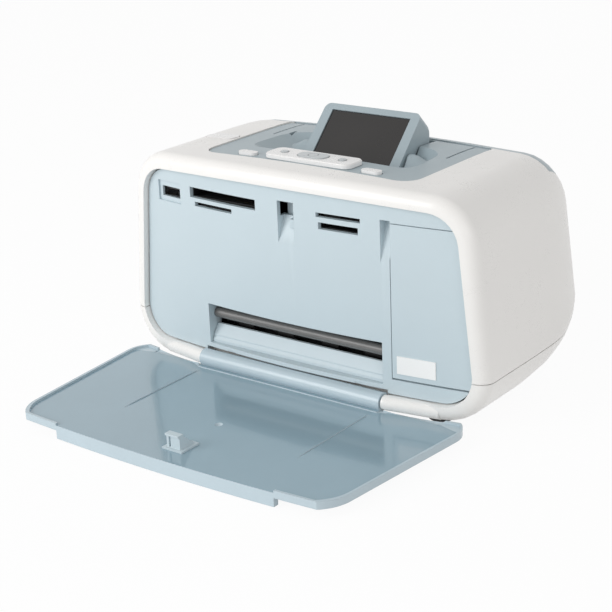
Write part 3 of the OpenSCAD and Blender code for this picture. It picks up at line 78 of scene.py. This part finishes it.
def add_camera():
    """Looks at the target from the front right, a little above the printer."""
    level = math.cos(ELEVATION)
    back = Vector((math.sin(AZIMUTH) * level, -math.cos(AZIMUTH) * level, math.sin(ELEVATION)))
    across = Vector((0, 0, 1)).cross(back).normalized()
    up = back.cross(across)
    x = across * math.cos(ROLL) + up * math.sin(ROLL)
    y = up * math.cos(ROLL) - across * math.sin(ROLL)
    data = bpy.data.cameras.new("camera")
    data.lens = LENS
    data.sensor_width = SENSOR
    data.clip_start = 0.01
    data.clip_end = 20
    camera = bpy.data.objects.new("camera", data)
    bpy.context.scene.collection.objects.link(camera)
    place = TARGET + back * DISTANCE
    camera.matrix_world = Matrix(((x.x, y.x, back.x, place.x), (x.y, y.y, back.y, place.y),
                                  (x.z, y.z, back.z, place.z), (0, 0, 0, 1)))
    bpy.context.scene.camera = camera


add_camera()


# ---------- materials ----------
def linear(hex_colour):
    """An sRGB hex colour as linear red, green, blue and alpha."""
    parts = [int(hex_colour[i:i + 2], 16) / 255 for i in (1, 3, 5)]
    return [c / 12.92 if c <= 0.04045 else ((c + 0.055) / 1.055) ** 2.4 for c in parts] + [1]


def add_node(tree, kind, links=None, **settings):
    """Adds a node; settings name its properties or sockets, links its linked inputs."""
    node = tree.nodes.new(kind)
    for name, value in settings.items():
        if hasattr(node, name):
            setattr(node, name, value)
        else:
            node.inputs[name.replace("_", " ")].default_value = value
    for name, source in (links or {}).items():
        tree.links.new(source, node.inputs[name])
    return node


def new_material(name):
    material = bpy.data.materials.new(name)
    material.use_nodes = True
    return material, material.node_tree, material.node_tree.nodes["Principled BSDF"]


DRIFT_SCALE = 22
SMEAR_SCALE = 60
ROUGHNESS_SPREAD = 0.18
COAT_ROUGHNESS = 0.04
# how far the rounded normal turns from the true one before the painted edge highlight starts, and where it is
# full
EDGE_HIGHLIGHT_FROM, EDGE_HIGHLIGHT_TO = 0.97, 0.75


def plastic(name, colour, roughness, coat=0.0, grain_mm=0.5, relief_mm=0.004, tone=0.025, edge_mm=0.25,
            edge_highlight="#FFFFFF", edge_highlight_share=0.12, ior=1.53):
    """A moulded plastic: the even grain that its spark-eroded mould leaves, a slow drift of tone
    where the wall cools unevenly, and edges a quarter of a millimetre round with a painted highlight that
    makes them paler."""
    material, tree, shader = new_material(name)
    place = add_node(tree, "ShaderNodeTexCoord").outputs["Object"]
    # tone drifts over about 45 mm
    drift = add_node(tree, "ShaderNodeTexNoise", {"Vector": place}, Scale=DRIFT_SCALE, Detail=3,
                     Roughness=0.55)
    value = add_node(tree, "ShaderNodeMapRange", {"Value": drift.outputs["Fac"]}, From_Min=0.3, From_Max=0.7,
                     To_Min=1 - tone, To_Max=1 + tone)
    base = add_node(tree, "ShaderNodeHueSaturation", {"Value": value.outputs["Result"]}, Color=linear(colour))
    # rounded edges, found by how far the rounded normal leaves the true one; these get the painted highlight
    round_edge = add_node(tree, "ShaderNodeBevel", samples=4, Radius=edge_mm * MM)
    true_face = add_node(tree, "ShaderNodeNewGeometry").outputs["True Normal"]
    turn = add_node(tree, "ShaderNodeVectorMath", {0: round_edge.outputs["Normal"], 1: true_face},
                    operation="DOT_PRODUCT")
    on_edge = add_node(tree, "ShaderNodeMapRange", {"Value": turn.outputs["Value"]}, From_Min=EDGE_HIGHLIGHT_FROM,
                       From_Max=EDGE_HIGHLIGHT_TO, To_Min=0, To_Max=edge_highlight_share)
    # painted highlight: a paler colour mixed into the base colour along the rounded edges
    edge_highlighted = add_node(tree, "ShaderNodeMix", {0: on_edge.outputs["Result"], 6: base.outputs["Color"]},
                      data_type="RGBA")
    edge_highlighted.inputs[7].default_value = linear(edge_highlight)
    # mould grain; real grain is near 0.1 mm and is drawn coarser so that it shows
    grain = add_node(tree, "ShaderNodeTexNoise", {"Vector": place}, Scale=1 / (grain_mm * MM), Detail=2)
    # finger smears, some 16 mm across
    smears = add_node(tree, "ShaderNodeTexNoise", {"Vector": place}, Scale=SMEAR_SCALE, Detail=4,
                      Roughness=0.6)
    both = add_node(tree, "ShaderNodeMath", {0: grain.outputs["Fac"], 1: smears.outputs["Fac"]},
                    operation="ADD")
    rough = add_node(tree, "ShaderNodeMapRange", {"Value": both.outputs["Value"]}, From_Min=0.6,
                     From_Max=1.4, To_Min=roughness * (1 - ROUGHNESS_SPREAD),
                     To_Max=roughness * (1 + ROUGHNESS_SPREAD))
    relief = add_node(tree, "ShaderNodeBump",
                      {"Height": grain.outputs["Fac"], "Normal": round_edge.outputs["Normal"]},
                      Strength=1, Distance=relief_mm * MM)
    tree.links.new(edge_highlighted.outputs[2], shader.inputs["Base Color"])
    tree.links.new(rough.outputs["Result"], shader.inputs["Roughness"])
    tree.links.new(relief.outputs["Normal"], shader.inputs["Normal"])
    shader.inputs["IOR"].default_value = ior
    shader.inputs["Coat Weight"].default_value = coat
    shader.inputs["Coat Roughness"].default_value = COAT_ROUGHNESS
    return material


def metal(name, colour, roughness, lines_mm=0.25):
    """Ground steel: fine lines that the wheel leaves along the piece, under a dull shine."""
    material, tree, shader = new_material(name)
    place = add_node(tree, "ShaderNodeTexCoord").outputs["Object"]
    across = 1 / (lines_mm * MM)
    stretch = add_node(tree, "ShaderNodeMapping", {"Vector": place}, Scale=(60, across, across))
    lines = add_node(tree, "ShaderNodeTexNoise", {"Vector": stretch.outputs["Vector"]}, Scale=1, Detail=2)
    rough = add_node(tree, "ShaderNodeMapRange", {"Value": lines.outputs["Fac"]},
                     To_Min=roughness * 0.7, To_Max=roughness * 1.3)
    shade = add_node(tree, "ShaderNodeMapRange", {"Value": lines.outputs["Fac"]}, To_Min=0.88, To_Max=1.06)
    base = add_node(tree, "ShaderNodeHueSaturation", {"Value": shade.outputs["Result"]}, Color=linear(colour))
    tree.links.new(base.outputs["Color"], shader.inputs["Base Color"])
    tree.links.new(rough.outputs["Result"], shader.inputs["Roughness"])
    shader.inputs["Metallic"].default_value = 1
    return material


def circuit_board(name):
    """Glass epoxy under green lacquer: copper tracks show through as paler lines about 1.2 mm apart."""
    material, tree, shader = new_material(name)
    place = add_node(tree, "ShaderNodeTexCoord").outputs["Object"]
    cells = add_node(tree, "ShaderNodeTexBrick", {"Vector": place}, Scale=1, Mortar_Size=0.2 * MM,
                     Brick_Width=6.2 * MM, Row_Height=1.2 * MM, Color1=linear("#24573A"),
                     Color2=linear("#2B6746"), Mortar=linear("#4B8A62"))
    tree.links.new(cells.outputs["Color"], shader.inputs["Base Color"])
    rough = add_node(tree, "ShaderNodeMapRange", {"Value": cells.outputs["Fac"]}, To_Min=0.3, To_Max=0.42)
    tree.links.new(rough.outputs["Result"], shader.inputs["Roughness"])
    shader.inputs["IOR"].default_value = 1.5
    return material


DOT_MM = 0.5


def display_panel(name):
    """A liquid crystal panel that is off: dark and faintly brown, with its dots just showing.
    Real dots are 0.15 mm apart and are drawn at 0.5 mm so that they show."""
    material, tree, shader = new_material(name)
    place = add_node(tree, "ShaderNodeTexCoord").outputs["Object"]
    dots = add_node(tree, "ShaderNodeTexVoronoi", {"Vector": place}, Scale=1 / (DOT_MM * MM), Randomness=0.1)
    haze = add_node(tree, "ShaderNodeTexNoise", {"Vector": place}, Scale=26, Detail=2)
    mixed = add_node(tree, "ShaderNodeMix", {0: haze.outputs["Fac"]}, data_type="RGBA")
    mixed.inputs[6].default_value = linear("#1D1B1A")
    mixed.inputs[7].default_value = linear("#2B2827")
    depth = add_node(tree, "ShaderNodeMapRange", {"Value": dots.outputs["Distance"]}, To_Min=1.05,
                     To_Max=0.85)
    base = add_node(tree, "ShaderNodeHueSaturation",
                    {"Color": mixed.outputs[2], "Value": depth.outputs["Result"]})
    tree.links.new(base.outputs["Color"], shader.inputs["Base Color"])
    rough = add_node(tree, "ShaderNodeMapRange", {"Value": haze.outputs["Fac"]}, To_Min=0.22, To_Max=0.34)
    tree.links.new(rough.outputs["Result"], shader.inputs["Roughness"])
    shader.inputs["IOR"].default_value = 1.45
    shader.inputs["Coat Weight"].default_value = 0.1
    shader.inputs["Coat Roughness"].default_value = 0.08
    return material


# the paler edge colours given below are painted highlights along the rounded edges; without one, the edges
# take painted white at a share of 0.12
finishes = {
    "shell_white": plastic("ABS white satin moulded", "#F2F0ED", 0.3, tone=0.008, edge_highlight_share=0.0),
    "fascia_blue": plastic("ABS pale blue satin moulded", "#C6D4DA", 0.4, tone=0.012),
    "tray_blue": plastic("ABS blue-grey gloss moulded", "#BCCCD4", 0.22),
    "deck_blue": plastic("ABS blue-grey satin moulded", "#A3B1B7", 0.38),
    "key_white": plastic("ABS white key moulded", "#F4F3F2", 0.28, edge_highlight_share=0.0),
    "key_grey": plastic("painted key grey", "#C3C8CA", 0.3),
    "black_plastic": plastic("ABS black moulded", "#1C1D1F", 0.45, edge_highlight="#6A6C6E"),
    "dark_plastic": plastic("ABS dark grey moulded", "#3A3B3D", 0.5, edge_highlight="#7A7C7E"),
    "gear_white": plastic("acetal natural moulded", "#E4E2DA", 0.4),
    "bar_grey": plastic("ABS mid grey turned", "#6E6C6A", 0.33, edge_highlight="#9A9A98"),
    "display_glass": display_panel("display panel switched off"),
    "steel": metal("steel ground", "#B9BBBD", 0.3),
    "rubber": plastic("EPDM rubber moulded", "#1E1E1F", 0.7, edge_highlight="#3A3A3A", ior=1.5),
    "board_green": circuit_board("glass epoxy board lacquered"),
    "label_white": plastic("printed film blank", "#F7F7F6", 0.4, grain_mm=1, edge_highlight_share=0.0),
}
# these two also carry the painted edge highlight: white by default, and a paler grey on the black edge
tray_face = plastic("ABS blue-grey gloss polished face", "#93ABB7", 0.12, coat=0.25, relief_mm=0.001,
                    tone=0.02)
panel_edge = plastic("polycarbonate black printed edge", "#141416", 0.2, edge_highlight="#55585A")
gold = metal("phosphor bronze gilded", "#C9A45C", 0.28)


# ---------- pieces kept from the solids, with smooth shading ----------
def add_piece(name, mesh, body, materials, replaces=None):
    """Links a finished mesh as a piece that rides on a body."""
    mesh.name = name
    piece = bpy.data.objects.new(name, mesh)
    bpy.context.scene.collection.objects.link(piece)
    for material in materials:
        mesh.materials.append(material)
    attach(piece, body)
    if replaces:
        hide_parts(replaces)
    return piece


def smooth_copy(node, angle=30, paint=None, materials=None):
    """A copy of a solid with its triangles joined, so that its curved faces shade as one."""
    mesh = nodes[node].data.copy()
    mesh.materials.clear()
    form = bmesh.new()
    form.from_mesh(mesh)
    bmesh.ops.remove_doubles(form, verts=form.verts, dist=2e-6)
    form.normal_update()
    for face in form.faces:
        face.smooth = True
        face.material_index = paint(face) if paint else 0
    for edge in form.edges:
        edge.smooth = edge.is_manifold and edge.calc_face_angle(0) < math.radians(angle)
    form.to_mesh(mesh)
    form.free()
    if "custom_normal" in mesh.attributes:
        mesh.attributes.remove(mesh.attributes["custom_normal"])
    slot = slot_of_node[node]
    piece = add_piece(node + "_smooth", mesh, body_of_node[node], materials or [finishes[slot]], node)
    # large flat faces keep their own direction beside rounded ones
    weighted = piece.modifiers.new("weighted", "WEIGHTED_NORMAL")
    weighted.keep_sharp = True
    return piece


# the tray's upper face, its ridges over it, and where its barrel starts
TRAY_TOP, RIDGES_OVER, TRAY_UNDER = 7.3 * MM, 0.75 * MM, 0.2 * MM
TRAY_BARREL_BACK = -8.8 * MM
FACES_UP = 0.6


def tray_paint(face):
    """1 on the polished upper face and its ridges, 0 on the border, lip, underside and barrel."""
    middle = face.calc_center_median()
    high = TRAY_TOP - TRAY_UNDER < middle.z < TRAY_TOP + RIDGES_OVER
    return 1 if face.normal.z > FACES_UP and high and middle.y < TRAY_BARREL_BACK else 0


for node in sorted(nodes):
    if node == "output_tray":
        smooth_copy(node, paint=tray_paint, materials=[finishes["tray_blue"], tray_face])
    elif node != "display_glass":
        smooth_copy(node)


# ---------- display: a black edge printed round the panel ----------
SCREEN_TILT = math.radians(45)
PANEL_THICKNESS = 1.6 * MM
PRINTED_EDGE = 1.1 * MM


def add_display():
    low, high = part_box("display_glass")
    width = high.x - low.x
    # the panel leans back by its tilt, so its length comes from its box's height
    length = (high.z - low.z - PANEL_THICKNESS * math.cos(SCREEN_TILT)) / math.sin(SCREEN_TILT)
    form = bmesh.new()
    bmesh.ops.create_cube(form, size=1)
    bmesh.ops.scale(form, verts=form.verts, vec=(width, length, PANEL_THICKNESS))
    top = max(form.faces, key=lambda f: f.calc_center_median().z)
    bmesh.ops.inset_region(form, faces=[top], thickness=PRINTED_EDGE, depth=0)
    for face in form.faces:
        face.material_index = 1 if face is top else 0
    bmesh.ops.rotate(form, verts=form.verts, cent=(0, 0, 0), matrix=Matrix.Rotation(SCREEN_TILT, 3, "X"))
    bmesh.ops.translate(form, verts=form.verts, vec=(low + high) / 2)
    bmesh.ops.recalc_face_normals(form, faces=form.faces)
    mesh = bpy.data.meshes.new("display_panel")
    form.to_mesh(mesh)
    form.free()
    add_piece("display_panel", mesh, body_of_node["display_glass"],
              [panel_edge, finishes["display_glass"]], "display_glass")


add_display()


# ---------- contacts in the camera port and the card slots ----------
def add_boxes(name, boxes, material):
    """One piece of plain boxes, each given by its low and high corner in millimetres."""
    form = bmesh.new()
    for low, high in boxes:
        made = bmesh.ops.create_cube(form, size=1)["verts"]
        bmesh.ops.scale(form, verts=made, vec=[(b - a) * MM for a, b in zip(low, high)])
        bmesh.ops.translate(form, verts=made, vec=[(a + b) / 2 * MM for a, b in zip(low, high)])
    mesh = bpy.data.meshes.new(name)
    form.to_mesh(mesh)
    form.free()
    return add_piece(name, mesh, body_of_node["card_sockets"], [material])


def contact_row(x, pitch, half_width, places, y, z):
    """Boxes of a row of contacts centred on x, each between two y and two z."""
    return [((x + pitch * i - half_width, y[0], z[0]), (x + pitch * i + half_width, y[1], z[1]))
            for i in places]


PORT_X, PORT_BACK, PORT_TOP = -77.7, 17.7, 97.5
add_boxes("camera_port_tongue",
          [((PORT_X - 5.6, 5.5, PORT_TOP - 1.9), (PORT_X + 5.6, PORT_BACK, PORT_TOP - 0.2))],
          finishes["black_plastic"])
add_boxes("camera_port_contacts",
          contact_row(PORT_X, 2.4, 0.5, (-1.5, -0.5, 0.5, 1.5), (6.2, PORT_BACK),
                      (PORT_TOP - 2.1, PORT_TOP - 1.88)), gold)
WIDE_X, WIDE_Z, PIN_PITCH, PIN_HALF = -40.3, 98.2, 1.27, 0.22
pin_rows = [contact_row(WIDE_X, PIN_PITCH, PIN_HALF, range(-12, 13), (16.7, 21.6),
                        (z - PIN_HALF, z + PIN_HALF)) for z in (WIDE_Z - 0.64, WIDE_Z + 0.64)]
add_boxes("wide_slot_pins", pin_rows[0] + pin_rows[1], gold)
SMALL_X, SMALL_FLOOR, BLADE_PITCH = 31.2, 97.8, 2.5
add_boxes("small_slot_blades",
          contact_row(SMALL_X, BLADE_PITCH, 0.45, range(-4, 5), (11.7, 18.7),
                      (SMALL_FLOOR, SMALL_FLOOR + 0.25)), gold)


# ---------- flanks that blend the screen's hinge lugs into the dish, in millimetres ----------
# the dish's floor, where its side and its back start to rise, and their slopes
DISH_FLOOR, DISH_EDGE, DISH_RISE = 107.9, 33.1, 11.1 / 20.9
DISH_BACK, DISH_BACK_RISE = 62.7, 11.1 / 8
# the lug's middle and a hair over its top
LUG_Y, LUG_TOP = 60.0, 115.4
# where a flank starts, falls and ends, its reach along the lug, and how deep its skirt is sunk
FLANK_IN, FLANK_FULL, FLANK_OUT, FLANK_REACH = 30.75, 33.2, 46.0, 9.0
FLANK_SUNK, FLANK_UNDER, DECK_UNDER = 0.8, 1.4, 116.4
FLANK_COLUMNS, FLANK_ROWS = 16, 24


def flank_heights(x, y):
    """Underside and top of the flank over the dish's own slopes, in millimetres."""
    ground = max(DISH_FLOOR, DISH_FLOOR + (x - DISH_EDGE) * DISH_RISE,
                 DISH_FLOOR + (y - DISH_BACK) * DISH_BACK_RISE)
    ground = min(ground, DECK_UNDER)
    along = min(1, max(0, (x - FLANK_FULL) / (FLANK_OUT - FLANK_FULL)))
    across = min(1, abs(y - LUG_Y) / FLANK_REACH)
    share = (1 - along) ** 2 * (1 + 2 * along) * math.cos(math.pi / 2 * across) ** 2
    return ground - FLANK_UNDER, ground - FLANK_SUNK + max(0, LUG_TOP + FLANK_SUNK - ground) * share


def add_flank(name, side):
    """A low mound from the hinge lug out to the sloping side of the dish: a grid raised to its top,
    then extruded down to its underside."""
    form = bmesh.new()
    bmesh.ops.create_grid(form, x_segments=FLANK_COLUMNS, y_segments=FLANK_ROWS, size=1)
    for vert in form.verts:
        x = FLANK_IN + (FLANK_OUT - FLANK_IN) * (vert.co.x + 1) / 2
        y = LUG_Y + FLANK_REACH * vert.co.y
        vert.co = Vector((side * x, y, flank_heights(x, y)[1])) * MM
    lowered = bmesh.ops.extrude_face_region(form, geom=form.faces[:])["geom"]
    for vert in lowered:
        if isinstance(vert, bmesh.types.BMVert):
            vert.co.z = flank_heights(side * vert.co.x / MM, vert.co.y / MM)[0] * MM
    bmesh.ops.recalc_face_normals(form, faces=form.faces)
    for face in form.faces:
        face.smooth = True
    for edge in form.edges:
        edge.smooth = edge.calc_face_angle(0) < math.radians(40)
    mesh = bpy.data.meshes.new(name)
    form.to_mesh(mesh)
    form.free()
    add_piece(name, mesh, body_of_node["top_deck"], [finishes["deck_blue"]])


add_flank("screen_flank_left", -1)
add_flank("screen_flank_right", 1)


# ---------- floor and light ----------
def seen_directly(tree):
    """1 on rays that see the backdrop itself, in a mirror or through glass; 0 on its light."""
    path = add_node(tree, "ShaderNodeLightPath")
    first = add_node(tree, "ShaderNodeMath",
                     {0: path.outputs["Is Camera Ray"], 1: path.outputs["Is Glossy Ray"]},
                     operation="MAXIMUM")
    return add_node(tree, "ShaderNodeMath",
                    {0: first.outputs["Value"], 1: path.outputs["Is Transmission Ray"]},
                    operation="MAXIMUM").outputs["Value"]


FLOOR_SHADOW = 0.06


def add_floor():
    """White paper sweep: mostly its own white to the eye, with a share of lit paper for the shadow."""
    form = bmesh.new()
    bmesh.ops.create_grid(form, x_segments=1, y_segments=1, size=4)
    mesh = bpy.data.meshes.new("floor")
    form.to_mesh(mesh)
    form.free()
    floor = bpy.data.objects.new("floor", mesh)
    bpy.context.scene.collection.objects.link(floor)
    material, tree, shader = new_material("paper white")
    shader.inputs["Base Color"].default_value = linear("#FAFAFA")
    shader.inputs["Roughness"].default_value = 0.9
    shader.inputs["Specular IOR Level"].default_value = 0
    glow = add_node(tree, "ShaderNodeEmission", Color=(1, 1, 1, 1), Strength=1)
    share = add_node(tree, "ShaderNodeMath", {0: seen_directly(tree)}, operation="MULTIPLY")
    share.inputs[1].default_value = 1 - FLOOR_SHADOW
    mix = add_node(tree, "ShaderNodeMixShader",
                   {0: share.outputs["Value"], 1: shader.outputs["BSDF"], 2: glow.outputs["Emission"]})
    tree.links.new(mix.outputs["Shader"], tree.nodes["Material Output"].inputs["Surface"])
    mesh.materials.append(material)


def add_lamp(name, place, aim, size, power):
    data = bpy.data.lights.new(name, "AREA")
    data.shape = "RECTANGLE"
    data.size, data.size_y = size
    data.energy = power
    lamp = bpy.data.objects.new(name, data)
    bpy.context.scene.collection.objects.link(lamp)
    lamp.location = place
    lamp.rotation_euler = (Vector(aim) - Vector(place)).to_track_quat("-Z", "Y").to_euler()


def add_world(strength):
    world = bpy.data.worlds.new("studio")
    bpy.context.scene.world = world
    world.use_nodes = True
    tree = world.node_tree
    studio = tree.nodes["Background"]
    studio.inputs["Color"].default_value = (1, 1, 1, 1)
    studio.inputs["Strength"].default_value = strength
    white = add_node(tree, "ShaderNodeBackground", Color=(1, 1, 1, 1), Strength=1)
    mix = add_node(tree, "ShaderNodeMixShader",
                   {0: seen_directly(tree), 1: studio.outputs["Background"], 2: white.outputs["Background"]})
    tree.links.new(mix.outputs["Shader"], tree.nodes["World Output"].inputs["Surface"])


add_floor()
add_lamp("lamp_front_left", (-0.55, -1.0, 0.5), (-0.02, -0.02, 0.1), (0.7, 0.7), 7)
add_lamp("lamp_right", (1.4, -0.9, 0.5), (0, 0, 0.05), (0.9, 0.9), 2.5)
add_world(0.6)
bpy.context.scene.view_settings.view_transform = "Standard"
